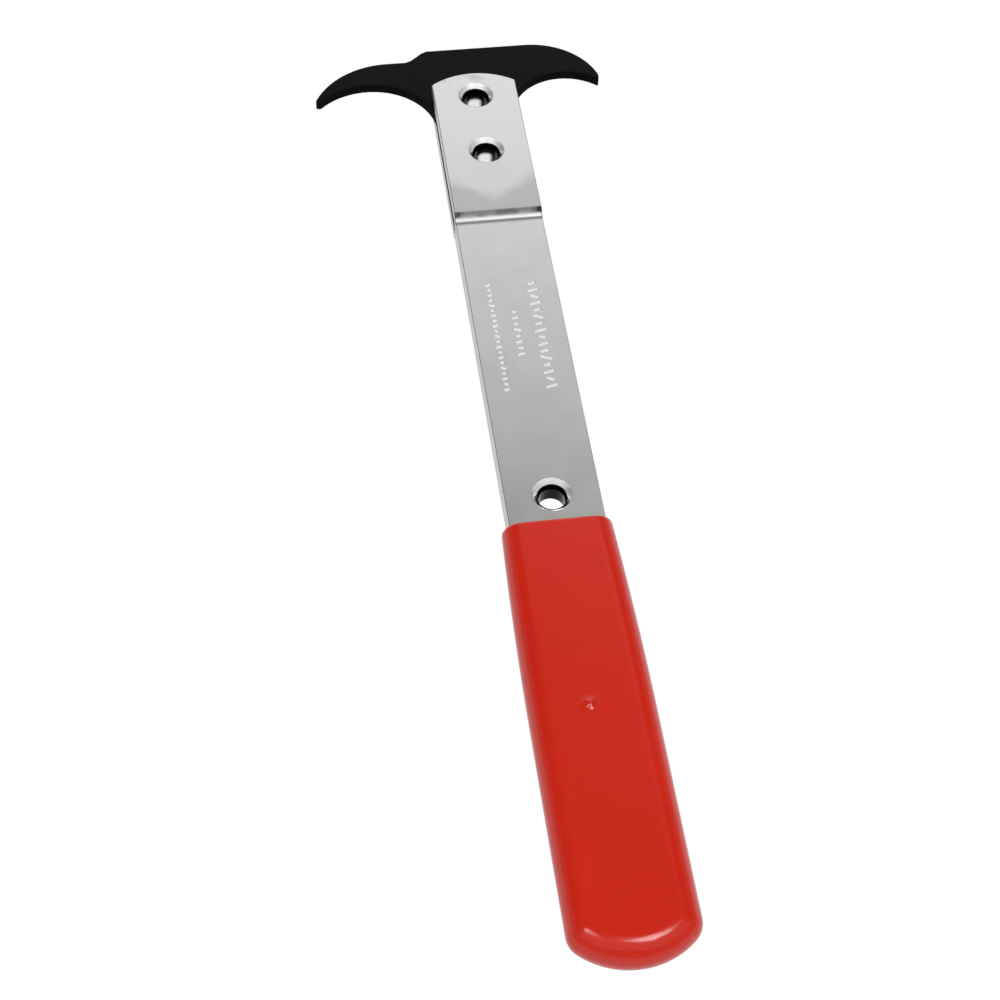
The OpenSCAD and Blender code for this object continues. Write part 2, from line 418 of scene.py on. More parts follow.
def hook_outline():
    """Points in millimetres from the upper rivet, going round anticlockwise."""
    half = SHANK_W / 2
    root = (hook_low.y - upper_y) / MM
    small_throat = (SMALL["x"], THROAT_H - SMALL["throat_r"])
    small_back = (SMALL["back_x"], CROWN_H - SMALL["back_r"])
    large_root = (LARGE["x"], THROAT_H - LARGE["root_r"])
    large_tip = (LARGE["x"], THROAT_H - LARGE["tip_r"])
    large_back = (LARGE["back_x"], CROWN_H - STEP_H - LARGE["back_r"])
    small_under = arc(small_throat, SMALL["throat_r"],
                      angle_at(half, SMALL["x"], SMALL["throat_r"]),
                      angle_at(SMALL["reach"] - TIP_BLUNT["small"], SMALL["x"],
                               SMALL["throat_r"]), 26)
    small_over = arc(small_back, SMALL["back_r"],
                     angle_at(SMALL["reach"], SMALL["back_x"], SMALL["back_r"]), 90, 18)
    large_over = arc(large_back, LARGE["back_r"], 90,
                     angle_at(LARGE["reach"], LARGE["back_x"], LARGE["back_r"]), 24)
    large_under = arc(large_tip, LARGE["tip_r"],
                      angle_at(LARGE["reach"] + TIP_BLUNT["large"], LARGE["x"], LARGE["tip_r"]),
                      90, 14)
    return ([(-half, root), (half, root)] + small_under[:-1]
            + rounded(small_under[-1], small_under[-2], small_over[0], TIP_ROUND)
            + rounded(small_over[0], small_under[-1], small_over[1], TIP_ROUND)
            + small_over[1:] + STEP_SLOPE + large_over[:-1]
            + rounded(large_over[-1], large_over[-2], large_under[0], TIP_ROUND)
            + rounded(large_under[0], large_over[-1], large_under[1], TIP_ROUND)
            + large_under[1:]
            + arc(large_root, LARGE["root_r"], 90,
                  angle_at(-half, LARGE["x"], LARGE["root_r"]), 36)[1:])


# %% Make the hook
hook_holes = [circle((0, y), RIVET_BODY_R * MM) for y in (upper_y, lower_y)]
hook_plan = [(x * MM, y * MM + upper_y) for x, y in hook_outline()]
hook = blank("hook", [hook_plan] + hook_holes, hook_t, HOOK_EDGE, segments=4)
shade(hook)
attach(hook, BODY)
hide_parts("double_hook")
report(hook)

# %% [markdown]
# ## Hollow rivets
#
# A tubular rivet comes with a low flange rolled on one end. It goes in from the back, and a
# punch flares its other end over in front. Its section is drawn once, as radius and height, and
# spun round. The punch leaves a cone with a soft lip and a short funnel below it, where the wall
# thins down to the bore. The flange at the back has only a small round.

# %% Rivet section
BORE_R = 3.45
NECK_R = 3.95
NECK_H = 1.25
FUNNEL_H = 2.6
FLARE_MOUTH_R = 5.2
LIP_H = 0.04
FLANGE_H = 0.2
FLANGE_ROUND = 0.5


def rivet_section(face_z):
    """Closed section, in mm, of a rivet that grips plates whose faces are at plus and minus face_z."""
    top, bottom = face_z + LIP_H, -face_z - FLANGE_H
    sink = face_z - (FLARE_R - RIVET_BODY_R)
    throat, neck = (BORE_R, top - FUNNEL_H), (NECK_R, top - NECK_H)
    mouth, rim = (FLARE_MOUTH_R, top), (FLARE_R, face_z - 0.02)
    points = rounded((BORE_R, bottom), (FLARE_R, bottom), throat, FLANGE_ROUND)
    points += rounded(throat, (BORE_R, bottom), neck, 0.3)
    points += rounded(neck, throat, mouth, 0.2)
    points += rounded(mouth, neck, rim, 0.1)
    points += [rim, (RIVET_BODY_R, sink), (RIVET_BODY_R, -face_z), (FLARE_R, -face_z)]
    points += rounded((FLARE_R, bottom), (FLARE_R, -face_z), (BORE_R, bottom), 0.15)
    return [(r * MM, z * MM) for r, z in points]


# %% Spin the rivets
def lathe(name, section, y, steps=96):
    """Spins a closed section of (radius, height) points round a line along Z at that y."""
    bm = bmesh.new()
    rings = []
    for k in range(steps):
        a = 2 * math.pi * k / steps
        rings.append([bm.verts.new((r * math.cos(a), y + r * math.sin(a), z))
                      for r, z in section])
    for k in range(steps):
        here, there = rings[k], rings[(k + 1) % steps]
        for i in range(len(section)):
            j = (i + 1) % len(section)
            bm.faces.new((here[i], there[i], there[j], here[j]))
    bmesh.ops.recalc_face_normals(bm, faces=bm.faces)
    mesh = bpy.data.meshes.new(name)
    bm.to_mesh(mesh)
    bm.free()
    return mesh_object(name, mesh)


rivets = []
for name, node, y, face in (
    ("upper_rivet", "upper_head_rivet", upper_y, plate_t + rise),
    ("lower_rivet", "lower_head_rivet", lower_y, plate_t + rise),
    ("handle_rivet", "shank_rivet", shank_y, plate_t),
):
    rivet = lathe(name, rivet_section(face / MM), y)
    shade(rivet, angle=50)
    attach(rivet, BODY)
    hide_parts(node)
    report(rivet)
    rivets.append(rivet)

# %% [markdown]
# ## The vinyl grip
#
# Warm steel is dipped in liquid vinyl and cured. The coat has no corners: its sides are full
# rounds, it is thickest at the bottom where it drained, and it swells over whatever is below it,
# here a rivet head that shows as a pimple. A rounded blank gives the sleeve. It is remeshed
# into small even faces, so that the taper, the pimple and the soft lip can be pushed in smoothly.

# %% Grip outline
GRIP_END_R = 21 * MM
GRIP_T = 11.6 * MM
MOUTH_T = 10 * MM
MOUTH_W = 29 * MM
GRIP_CORNER = GRIP_T / 2
GRIP_FULL_Y = -68 * MM
VOXEL = 0.45 * MM
PIMPLE_H = 0.8 * MM
PIMPLE_R = 1.25 * MM
MOUTH_ROUND = 0.9 * MM
grip_w = grip_high.x - grip_low.x
mouth_y = grip_high.y
grip_end = grip_low.y


def grip_outline():
    """Plan of the sleeve at its full width: square mouth, rounded corners and an arc at the end."""
    half = grip_w / 2
    swing = math.degrees(math.asin((half - GRIP_CORNER) / (GRIP_END_R - GRIP_CORNER)))
    centre = (0, grip_end + GRIP_END_R)
    corner_y = centre[1] - (GRIP_END_R - GRIP_CORNER) * math.cos(math.radians(swing))
    mouth = mouth_y + GRIP_T
    left = arc((GRIP_CORNER - half, corner_y), GRIP_CORNER, 180, 270 - swing, 10)
    end = arc(centre, GRIP_END_R, 270 - swing, 270 + swing, 30)
    right = arc((half - GRIP_CORNER, corner_y), GRIP_CORNER, 270 + swing, 360, 10)
    return [(-half, mouth)] + left + end[1:-1] + right + [(half, mouth)]


def taper(y):
    """From 0 at the mouth to 1 where the coat reaches its full size."""
    share = min(1, max(0, (y - mouth_y) / (GRIP_FULL_Y - mouth_y)))
    return share * (2 - share)


def form_grip(bm):
    """Narrows and thins the sleeve towards its mouth, and raises the pimple on its front."""
    for vertex in bm.verts:
        share = taper(vertex.co.y)
        vertex.co.x *= (MOUTH_W + (grip_w - MOUTH_W) * share) / grip_w
        vertex.co.z *= (MOUTH_T + (GRIP_T - MOUTH_T) * share) / GRIP_T
        if vertex.co.z > 0:
            away = math.hypot(vertex.co.x - grip_rivet_x, vertex.co.y - grip_rivet_y)
            vertex.co.z += PIMPLE_H * math.exp(-((away / PIMPLE_R) ** 2))
        past = (vertex.co.y - mouth_y + MOUTH_ROUND) / MOUTH_ROUND
        if past > 0:
            pull = MOUTH_ROUND * (1 - math.sqrt(max(0, 1 - min(1, past) ** 2)))
            vertex.co.x -= math.copysign(pull, vertex.co.x) * (abs(vertex.co.x) > bar_w / 2)
            vertex.co.z -= math.copysign(pull, vertex.co.z) * (abs(vertex.co.z) > plate_t)


# %% Make the grip
grip = blank("grip", [grip_outline()], GRIP_T, GRIP_T / 2 - 0.01 * MM, segments=10)
remesh = grip.modifiers.new("even_faces", "REMESH")
remesh.mode = "VOXEL"
remesh.voxel_size = VOXEL
smooth = grip.modifiers.new("soften", "SMOOTH")
smooth.factor = 0.5
smooth.iterations = 6
apply_modifiers(grip)


def trim_mouth(bm):
    """Cuts the sleeve off square at its mouth and closes it."""
    everything = bm.verts[:] + bm.edges[:] + bm.faces[:]
    found = bmesh.ops.bisect_plane(
        bm, geom=everything, plane_co=(0, mouth_y, 0), plane_no=(0, 1, 0), clear_outer=True)
    rim = [e for e in found["geom_cut"] if isinstance(e, bmesh.types.BMEdge)]
    bmesh.ops.contextual_create(bm, geom=rim)


edit(grip, trim_mouth)
edit(grip, form_grip)
core_plan = [(x * MM, y * MM) for x, y in bar_outline()]
core = blank("core", [core_plan], 2 * plate_t, 0.01 * MM, segments=1)
cut(grip, core)
shade(grip, angle=60)
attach(grip, BODY)
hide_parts("vinyl_grip")
report(grip)

# %% [markdown]
# ## Helpers for materials
#
# Colours are picked as sRGB hex, which is how they look on a screen, and the shader needs them
# linear, so one function converts them. Every node is added by one small function, which takes
# its settings and what its sockets are linked to.

# %% Colour and nodes
def linear(hex_colour):
    """An sRGB hex colour as the linear RGBA that shaders use."""
    parts = [int(hex_colour[i:i + 2], 16) / 255 for i in (0, 2, 4)]
    return [c / 12.92 if c <= 0.04045 else ((c + 0.055) / 1.055) ** 2.4 for c in parts] + [1]


def add(tree, kind, inputs=None, **settings):
    """Adds one node. An input is a plain value, or a (node, output) pair to link from."""
    node = tree.nodes.new(kind)
    for name, value in settings.items():
        setattr(node, name, value)
    for name, value in (inputs or {}).items():
        if isinstance(value, tuple) and isinstance(value[0], bpy.types.Node):
            tree.links.new(value[0].outputs[value[1]], node.inputs[name])
        else:
            node.inputs[name].default_value = value
    return node


def new_material(name):
    """An empty material, its tree and its surface output."""
    material = bpy.data.materials.new(name)
    material.use_nodes = True
    tree = material.node_tree
    tree.nodes.clear()
    return material, tree, add(tree, "ShaderNodeOutputMaterial")


def per_metre(size_mm):
    """Noise scale whose features are about that many millimetres across."""
    return 1000 / size_mm


# %% [markdown]
# ## Bright zinc on cold-rolled steel
#
# The plates are cold-rolled bar with a thin bright zinc plate. Three marks darken it in places.
# A zone above the joggle, up to a ragged border that dips in the middle, is painted darker. The
# bend is matt, and its colour is darkened too, as painted shade that tones down its highlight.
# The outer bend gets a line of painted shade, darkest at the bar's two edges. Each mark is a
# mask from 0 to 1, made from the place on the plate.

# %% Darker zone and painted shade at the bend
SOFT = {"interpolation_type": "SMOOTHSTEP"}
BORDER_Y = 106.5 * MM
BORDER_SLOPE = 0.55
BORDER_RAG = 6 * MM
SHADE_LINE_Y = 100.7 * MM


def darker_zone_mask(tree, xyz, off_centre, patches):
    """A darker zone from the joggle up to a ragged border, as an output to link from."""
    border = add(tree, "ShaderNodeMath",
                 {0: off_centre, 1: -BORDER_SLOPE, 2: -BORDER_Y}, operation="MULTIPLY_ADD")
    ragged = add(tree, "ShaderNodeMath",
                 {0: patches, 1: BORDER_RAG, 2: (border, "Value")}, operation="MULTIPLY_ADD")
    above = add(tree, "ShaderNodeMath", {0: (xyz, "Y"), 1: (ragged, "Value")}, operation="ADD")
    top = add(tree, "ShaderNodeMapRange",
              {"Value": (above, "Value"), "From Min": 0.5 * MM, "From Max": 7 * MM,
               "To Min": 1, "To Max": 0}, **SOFT)
    start = add(tree, "ShaderNodeMapRange",
                {"Value": (xyz, "Y"), "From Min": 99.4 * MM, "From Max": 100 * MM}, **SOFT)
    zone = add(tree, "ShaderNodeMath",
               {0: (top, "Result"), 1: (start, "Result")}, operation="MULTIPLY")
    return zone, "Value"


def bend_shade_mask(tree, place, bend_y, off_centre):
    """Painted shade along the outer bend, in blobs and darkest at the bar's two edges."""
    blobs = add(tree, "ShaderNodeTexNoise",
                {"Vector": (place, "Object"), "Scale": per_metre(3.5), "Detail": 2})
    spots = add(tree, "ShaderNodeMapRange",
                {"Value": (blobs, "Fac"), "From Min": 0.45, "From Max": 0.62, "To Max": 0.35}, **SOFT)
    ends = add(tree, "ShaderNodeMapRange",
               {"Value": off_centre, "From Min": 10.5 * MM, "From Max": 12 * MM,
                "To Min": 0.2, "To Max": 0.75}, **SOFT)
    amount = add(tree, "ShaderNodeMath",
                 {0: (ends, "Result"), 1: (spots, "Result")}, operation="ADD", use_clamp=True)
    line = add(tree, "ShaderNodeMapRange",
               {"Value": bend_y, "From Min": 0.4 * MM, "From Max": 1.0 * MM,
                "To Min": 1, "To Max": 0}, **SOFT)
    shade_line = add(tree, "ShaderNodeMath",
              {0: (amount, "Value"), 1: (line, "Result")}, operation="MULTIPLY")
    return shade_line, "Value"


# %% [markdown]
# Stamping leaves the grooves frosted, so they show pale. They lie below the face, and only
# between the joggle and the shank rivet. Shearing leaves the bar's sides satin and greyer than
# its faces. Those are found by which way the surface faces.

# %% Stamped and sheared places
def groove_mask(tree, xyz, off_centre):
    """The bottoms of the stamped grooves."""
    below = add(tree, "ShaderNodeMapRange",
                {"Value": (xyz, "Z"), "From Min": 3.39 * MM, "From Max": 3.3 * MM}, **SOFT)
    above = add(tree, "ShaderNodeMapRange",
                {"Value": (xyz, "Z"), "From Min": 3.1 * MM, "From Max": 3.15 * MM}, **SOFT)
    past_rivet = add(tree, "ShaderNodeMapRange",
                     {"Value": (xyz, "Y"), "From Min": 30 * MM, "From Max": 31 * MM}, **SOFT)
    in_from_side = add(tree, "ShaderNodeMapRange",
                       {"Value": off_centre, "From Min": 12 * MM, "From Max": 11.5 * MM}, **SOFT)
    found = (below, "Result")
    for limit in (above, past_rivet, in_from_side):
        both = add(tree, "ShaderNodeMath", {0: found, 1: (limit, "Result")}, operation="MULTIPLY")
        found = (both, "Value")
    return found


def side_mask(tree):
    """The sheared sides, which face across the bar and not up or down."""
    facing = add(tree, "ShaderNodeSeparateXYZ",
                 {"Vector": (add(tree, "ShaderNodeNewGeometry"), "Normal")})
    upright = add(tree, "ShaderNodeMath", {0: (facing, "Z")}, operation="ABSOLUTE")
    side = add(tree, "ShaderNodeMapRange",
               {"Value": (upright, "Value"), "From Min": 0.2, "From Max": 0.5,
                "To Min": 1, "To Max": 0}, **SOFT)
    return side, "Result"


# %% [markdown]
# The plating itself is put together from those masks. Rolling leaves faint lines along the bar,
# about a fifth of a millimetre apart, drawn here at half a millimetre so that they show. The
# steel isn't quite flat, so reflections bend in waves a couple of centimetres long. Handling
# leaves soft patches of slightly duller plate, and smudges near the crown. The eye gets a soft
# mirror that is brighter or darker by what is reflected.

# %% Colour of the plate
def zinc_colour(tree, patches, marks):
    """Base colour. Marks are (mask, colour) pairs laid over the plain plate, one by one."""
    colour = add(tree, "ShaderNodeMix",
                 {"Factor": patches, "A": linear("DADAD9"), "B": linear("F2F2F1")},
                 data_type="RGBA")
    for mask, tone in marks:
        colour = add(tree, "ShaderNodeMix",
                     {"Factor": mask, "A": (colour, "Result"), "B": linear(tone)},
                     data_type="RGBA")
    return colour, "Result"


def smudge_mask(tree, place, xyz):
    """Smudges on the last centimetre before the crown."""
    cloud = add(tree, "ShaderNodeTexNoise",
                {"Vector": (place, "Object"), "Scale": per_metre(5), "Detail": 4})
    spots = add(tree, "ShaderNodeMapRange",
                {"Value": (cloud, "Fac"), "From Min": 0.48, "From Max": 0.64, "To Max": 0.4}, **SOFT)
    near_crown = add(tree, "ShaderNodeMapRange",
                     {"Value": (xyz, "Y"), "From Min": 153 * MM, "From Max": 159 * MM}, **SOFT)
    smudge = add(tree, "ShaderNodeMath",
                 {0: (spots, "Result"), 1: (near_crown, "Result")}, operation="MULTIPLY")
    return smudge, "Value"


# %% Zinc plate material
def zinc_plate():
    """The plates' bright zinc, with the darker zone, painted shade at the bend, and the marks of the
    stamp and the shear.
    """
    material, tree, output = new_material("bright_zinc_plate")
    place = add(tree, "ShaderNodeTexCoord")
    xyz = add(tree, "ShaderNodeSeparateXYZ", {"Vector": (place, "Object")})
    along = add(tree, "ShaderNodeMapping", {"Vector": (place, "Object"), "Scale": (1, 0.02, 1)})
    lines = add(tree, "ShaderNodeTexNoise",
                {"Vector": (along, "Vector"), "Scale": per_metre(0.5), "Detail": 3})
    patches = add(tree, "ShaderNodeTexNoise",
                  {"Vector": (place, "Object"), "Scale": per_metre(9), "Detail": 5,
                   "Roughness": 0.6})
    waves = add(tree, "ShaderNodeTexNoise",
                {"Vector": (place, "Object"), "Scale": per_metre(26), "Detail": 1})
    off_centre = (add(tree, "ShaderNodeMath", {0: (xyz, "X")}, operation="ABSOLUTE"), "Value")
    past_bend = add(tree, "ShaderNodeMath", {0: (xyz, "Y"), 1: SHADE_LINE_Y}, operation="SUBTRACT")
    bend_y = (add(tree, "ShaderNodeMath", {0: (past_bend, "Value")}, operation="ABSOLUTE"), "Value")
    past_press = add(tree, "ShaderNodeMath", {0: (xyz, "Y"), 1: JOGGLE_Y * MM},
                     operation="SUBTRACT")
    press_y = add(tree, "ShaderNodeMath", {0: (past_press, "Value")}, operation="ABSOLUTE")
    # Painted shade over the bend itself, which tones down its highlight
    bend = add(tree, "ShaderNodeMapRange",
               {"Value": (press_y, "Value"), "From Min": 1.2 * MM, "From Max": 2.4 * MM,
                "To Min": 0.9, "To Max": 0}, **SOFT)
    groove, side = groove_mask(tree, xyz, off_centre), side_mask(tree)
    # The first three marks are a darker zone above the joggle, and painted shade at the bend and the
    # outer bend
    colour = zinc_colour(tree, (patches, "Fac"), [
        (darker_zone_mask(tree, xyz, off_centre, (patches, "Fac")), "CBCBCA"),
        ((bend, "Result"), "A0A09F"),
        (smudge_mask(tree, place, xyz), "8C8C8A"),
        (bend_shade_mask(tree, place, bend_y, off_centre), "3A3A39"),
        (groove, "E6E6E5"),
        (side, "B8B8B7"),
    ])
    metal = add(tree, "ShaderNodeMapRange", {"Value": groove, "To Min": 1, "To Max": 0.25}, **SOFT)
    satin = add(tree, "ShaderNodeMapRange",
                {"Value": (patches, "Fac"), "From Min": 0.3, "From Max": 0.7,
                 "To Min": 0.13, "To Max": 0.2}, **SOFT)
    matt = add(tree, "ShaderNodeMapRange",
               {"Value": (press_y, "Value"), "From Min": 1.2 * MM, "From Max": 1.7 * MM,
                "To Min": 0.45, "To Max": 0}, **SOFT)
    sheared = add(tree, "ShaderNodeMath", {0: side, 1: 0.4}, operation="MULTIPLY")
    rough = add(tree, "ShaderNodeMath",
                {0: (satin, "Result"), 1: (matt, "Result")}, operation="MAXIMUM")
    rough = add(tree, "ShaderNodeMath",
                {0: (rough, "Value"), 1: (sheared, "Value")}, operation="MAXIMUM")
    wavy = add(tree, "ShaderNodeBump",
               {"Height": (waves, "Fac"), "Strength": 1.0, "Distance": 0.1 * MM})
    grain = add(tree, "ShaderNodeBump",
                {"Height": (lines, "Fac"), "Strength": 0.25, "Distance": 0.004 * MM,
                 "Normal": (wavy, "Normal")})
    steel = add(tree, "ShaderNodeBsdfPrincipled",
                {"Base Color": colour, "Roughness": (rough, "Value"),
                 "Metallic": (metal, "Result"), "Normal": (grain, "Normal")})
    tree.links.new(steel.outputs["BSDF"], output.inputs["Surface"])
    return material


# %% [markdown]
# ## Black oxide steel
#
# The hook is blackened in hot salts and oiled. It is a dark satin film that follows the blanked
# steel, a little rougher in patches, so it takes only a weak, broad sheen.

# %% Black oxide material
def black_oxide():
    """The hook's blackened steel."""
    material, tree, output = new_material("black_oxide_steel")
    place = add(tree, "ShaderNodeTexCoord")
    cloud = add(tree, "ShaderNodeTexNoise",
                {"Vector": (place, "Object"), "Scale": per_metre(6), "Detail": 6})
    grit = add(tree, "ShaderNodeTexNoise",
               {"Vector": (place, "Object"), "Scale": per_metre(0.4), "Detail": 2})
    colour = add(tree, "ShaderNodeMix",
                 {"Factor": (cloud, "Fac"), "A": linear("080808"), "B": linear("0C0C0B")},
                 data_type="RGBA")
    rough = add(tree, "ShaderNodeMapRange",
                {"Value": (cloud, "Fac"), "From Min": 0.3, "From Max": 0.7,
                 "To Min": 0.38, "To Max": 0.52})
    # Shearing leaves the sides rougher than the rolled faces
    side = side_mask(tree)
    sheared = add(tree, "ShaderNodeMath", {0: side, 1: 0.9}, operation="MULTIPLY")
    rough = add(tree, "ShaderNodeMath",
                {0: (rough, "Result"), 1: (sheared, "Value")}, operation="MAXIMUM")
    colour = add(tree, "ShaderNodeMix",
                 {"Factor": side, "A": (colour, "Result"), "B": linear("040404")},
                 data_type="RGBA")
    bump = add(tree, "ShaderNodeBump",
               {"Height": (grit, "Fac"), "Strength": 0.3, "Distance": 0.01 * MM})
    film = add(tree, "ShaderNodeBsdfPrincipled",
               {"Base Color": (colour, "Result"), "Roughness": (rough, "Value"),
                "Metallic": 0.0, "IOR": 1.45, "Specular IOR Level": 0.09,
                "Normal": (bump, "Normal")})
    tree.links.new(film.outputs["BSDF"], output.inputs["Surface"])
    return material


# %% [markdown]
# ## Dipped vinyl
#
# Plastisol is soft PVC full of pigment, with an index near 1.53. It cures glossy, with a very
# faint orange peel a few millimetres across, so its highlights are bright with soft edges.

# %% Vinyl material
def dipped_vinyl():
    """The grip's red plastisol."""
    material, tree, output = new_material("dipped_red_vinyl")
    place = add(tree, "ShaderNodeTexCoord")
    peel = add(tree, "ShaderNodeTexNoise",
               {"Vector": (place, "Object"), "Scale": per_metre(7), "Detail": 1.5})
    tint = add(tree, "ShaderNodeTexNoise",
               {"Vector": (place, "Object"), "Scale": per_metre(22), "Detail": 3})
    colour = add(tree, "ShaderNodeMix",
                 {"Factor": (tint, "Fac"), "A": linear("C0200E"), "B": linear("C72310")},
                 data_type="RGBA")
    rough = add(tree, "ShaderNodeMapRange",
                {"Value": (tint, "Fac"), "From Min": 0.3, "From Max": 0.7,
                 "To Min": 0.16, "To Max": 0.22})
    bump = add(tree, "ShaderNodeBump",
               {"Height": (peel, "Fac"), "Strength": 0.5, "Distance": 0.05 * MM})
    vinyl = add(tree, "ShaderNodeBsdfPrincipled",
                {"Base Color": (colour, "Result"), "Roughness": (rough, "Result"),
                 "IOR": 1.53, "Specular IOR Level": 0.35, "Normal": (bump, "Normal")})
    tree.links.new(vinyl.outputs["BSDF"], output.inputs["Surface"])
    return material


# %% [markdown]
# ## Rivet steel
#
# The rivets are plated like the bar, and the punch leaves their flares satin. Down the bore the
# wall is painted dark, as painted shade. Deep in the head rivets a painted reflection lights the
# wall towards the crown.

# %% Rivet material
def rivet_steel(name, axis_y, face_z, painted_reflection):
    """The fourth argument sets how strong the painted reflection down the bore is, from 0 to 1."""
    material, tree, output = new_material(name)
    place = add(tree, "ShaderNodeTexCoord")
    centred = add(tree, "ShaderNodeVectorMath",
                  {0: (place, "Object"), 1: (0, axis_y, 0)}, operation="SUBTRACT")
    level = add(tree, "ShaderNodeVectorMath",
                {0: (centred, "Vector"), 1: (1, 1, 0)}, operation="MULTIPLY")
    radius = add(tree, "ShaderNodeVectorMath", {0: (level, "Vector")}, operation="LENGTH")
    xyz = add(tree, "ShaderNodeSeparateXYZ", {"Vector": (centred, "Vector")})
    noise = add(tree, "ShaderNodeTexNoise",
                {"Vector": (place, "Object"), "Scale": per_metre(1.5), "Detail": 4})
    flare = add(tree, "ShaderNodeMapRange",
                {"Value": (radius, "Value"), "From Min": 3.95 * MM, "From Max": 4.1 * MM}, **SOFT)
    depth = add(tree, "ShaderNodeMapRange",
                {"Value": (xyz, "Z"), "From Min": face_z - 4.2 * MM, "From Max": face_z - 5.6 * MM},
                **SOFT)
    # A painted reflection on the bore wall towards the crown, deep down
    crownward = add(tree, "ShaderNodeMapRange",
                    {"Value": (xyz, "Y"), "From Min": 2.4 * MM, "From Max": 3.3 * MM,
                     "To Max": painted_reflection}, **SOFT)
    reflection_patch = add(tree, "ShaderNodeMath",
               {0: (depth, "Result"), 1: (crownward, "Result")}, operation="MULTIPLY")
    plating_and_painted_reflection = add(tree, "ShaderNodeMath",
                {0: (flare, "Result"), 1: (reflection_patch, "Value")}, operation="MAXIMUM")
    bright = add(tree, "ShaderNodeMix",
                 {"Factor": (noise, "Fac"), "A": linear("E2E2E0"), "B": linear("F0F0EF")},
                 data_type="RGBA")
    # Outside the flare and that painted reflection, the bore is painted dark as painted shade
    colour = add(tree, "ShaderNodeMix",
                 {"Factor": (plating_and_painted_reflection, "Value"), "A": linear("161514"),
                  "B": (bright, "Result")}, data_type="RGBA")
    rough = add(tree, "ShaderNodeMapRange",
                {"Value": (noise, "Fac"), "From Min": 0.3, "From Max": 0.7,
                 "To Min": 0.16, "To Max": 0.24}, **SOFT)
    # The punch rubs the crown side of a flare hardest, and leaves it frosted
    frost = add(tree, "ShaderNodeMapRange",
                {"Value": (xyz, "Y"), "From Min": 0.5 * MM, "From Max": 2.5 * MM}, **SOFT)
    frost = add(tree, "ShaderNodeMath",
                {0: (frost, "Result"), 1: (flare, "Result")}, operation="MULTIPLY")
    metal = add(tree, "ShaderNodeMapRange", {"Value": (frost, "Value"), "To Min": 1, "To Max": 0.5})
    rough = add(tree, "ShaderNodeMapRange",
                {"Value": (frost, "Value"), "To Min": (rough, "Result"), "To Max": 0.42})
    bump = add(tree, "ShaderNodeBump",
               {"Height": (noise, "Fac"), "Strength": 0.1, "Distance": 0.01 * MM})
    steel = add(tree, "ShaderNodeBsdfPrincipled",
                {"Base Color": (colour, "Result"), "Roughness": (rough, "Result"),
                 "Metallic": (metal, "Result"), "Normal": (bump, "Normal")})
    tree.links.new(steel.outputs["BSDF"], output.inputs["Surface"])
    return material


# %% Give each piece its material
def wear(piece, material):
    """Puts one material on a whole piece."""
    piece.data.materials.clear()
    piece.data.materials.append(material)


zinc = zinc_plate()
wear(front_plate, zinc)
wear(back_plate, zinc)
wear(hook, black_oxide())
wear(grip, dipped_vinyl())
for rivet, y, face, painted_reflection in zip(rivets, (upper_y, lower_y, shank_y),
                                  (plate_t + rise, plate_t + rise, plate_t), (1, 1, 0)):
    wear(rivet, rivet_steel(rivet.name + "_steel", y, face, painted_reflection))
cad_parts["grip_rivet"].material_slots[0].material = rivet_steel(
    "grip_rivet_steel", grip_rivet_y, plate_t, 0)
print("materials:", sorted(m.name for m in bpy.data.materials if m.users))

# %% [markdown]
# ## Studio
#
# The tool lies on a plain pale sheet that is lit from within, so nothing casts a shadow. A flat
# mirror-like bar shows whatever stands opposite it, so the dome matters more than the lamps: a
# white panel stands behind the tool, the walls are grey up to about twenty degrees above the
# floor, and the rest of the room is dark. A wide overhead lamp
# lights the colours without showing in the steel, and two small soft boxes give the wet-looking
# highlights on the vinyl. One more pale patch, high on the viewer's side, is there for the
# rivets' flares, which face it.

# %% Floor
floor_z = min(grip_low.z, plate_low.z, cad_low.z) - 0.02 * MM
bpy.ops.mesh.primitive_plane_add(size=40, location=(0, 0, floor_z))
floor = bpy.context.object
floor.name = "floor"
floor_material, floor_tree, floor_output = new_material("pale_floor")
glow = add(floor_tree, "ShaderNodeEmission", {"Color": linear("FFFFFF"), "Strength": 1.0})
floor_tree.links.new(glow.outputs["Emission"], floor_output.inputs["Surface"])
wear(floor, floor_material)

# %% Dome
DARK = "505050"
LOW_WALL = "A8A8A8"
PANEL_X = 0.12
PATCH_Y = 0.5
PATCH_HALF = (1.2, 0.32)
world = bpy.data.worlds.new("studio_dome")
bpy.context.scene.world = world
world.use_nodes = True
dome = world.node_tree
dome.nodes.clear()
direction = add(dome, "ShaderNodeTexCoord")
axis = add(dome, "ShaderNodeSeparateXYZ", {"Vector": (direction, "Generated")})
from_middle = add(dome, "ShaderNodeMath", {0: (axis, "X"), 1: PANEL_X}, operation="SUBTRACT")
sideways = add(dome, "ShaderNodeMath", {0: (from_middle, "Value")}, operation="ABSOLUTE")
panel_w = add(dome, "ShaderNodeMapRange",
              {"Value": (sideways, "Value"), "From Min": 0.22, "From Max": 0.42,
               "To Min": 1, "To Max": 0}, **SOFT)
behind = add(dome, "ShaderNodeMapRange", {"Value": (axis, "Y"), "From Max": 0.4}, **SOFT)
in_panel = add(dome, "ShaderNodeMath",
               {0: (panel_w, "Result"), 1: (behind, "Result")}, operation="MULTIPLY")
panel = add(dome, "ShaderNodeValToRGB", {"Fac": (axis, "Z")})
stops = [(0.0, "E8E8E8"), (0.3, "FFFFFF"), (0.685, "FAFAFA"), (0.715, "DEDEDE"), (0.75, "D5D5D5"),
         (0.79, "C0C0C0"), (0.81, "A8A8A8"), (0.86, "707070"), (1.0, "484848")]
while len(panel.color_ramp.elements) < len(stops):
    panel.color_ramp.elements.new(0.5)
for element, (position, grey) in zip(panel.color_ramp.elements, stops):
    element.position = position
    element.color = linear(grey)
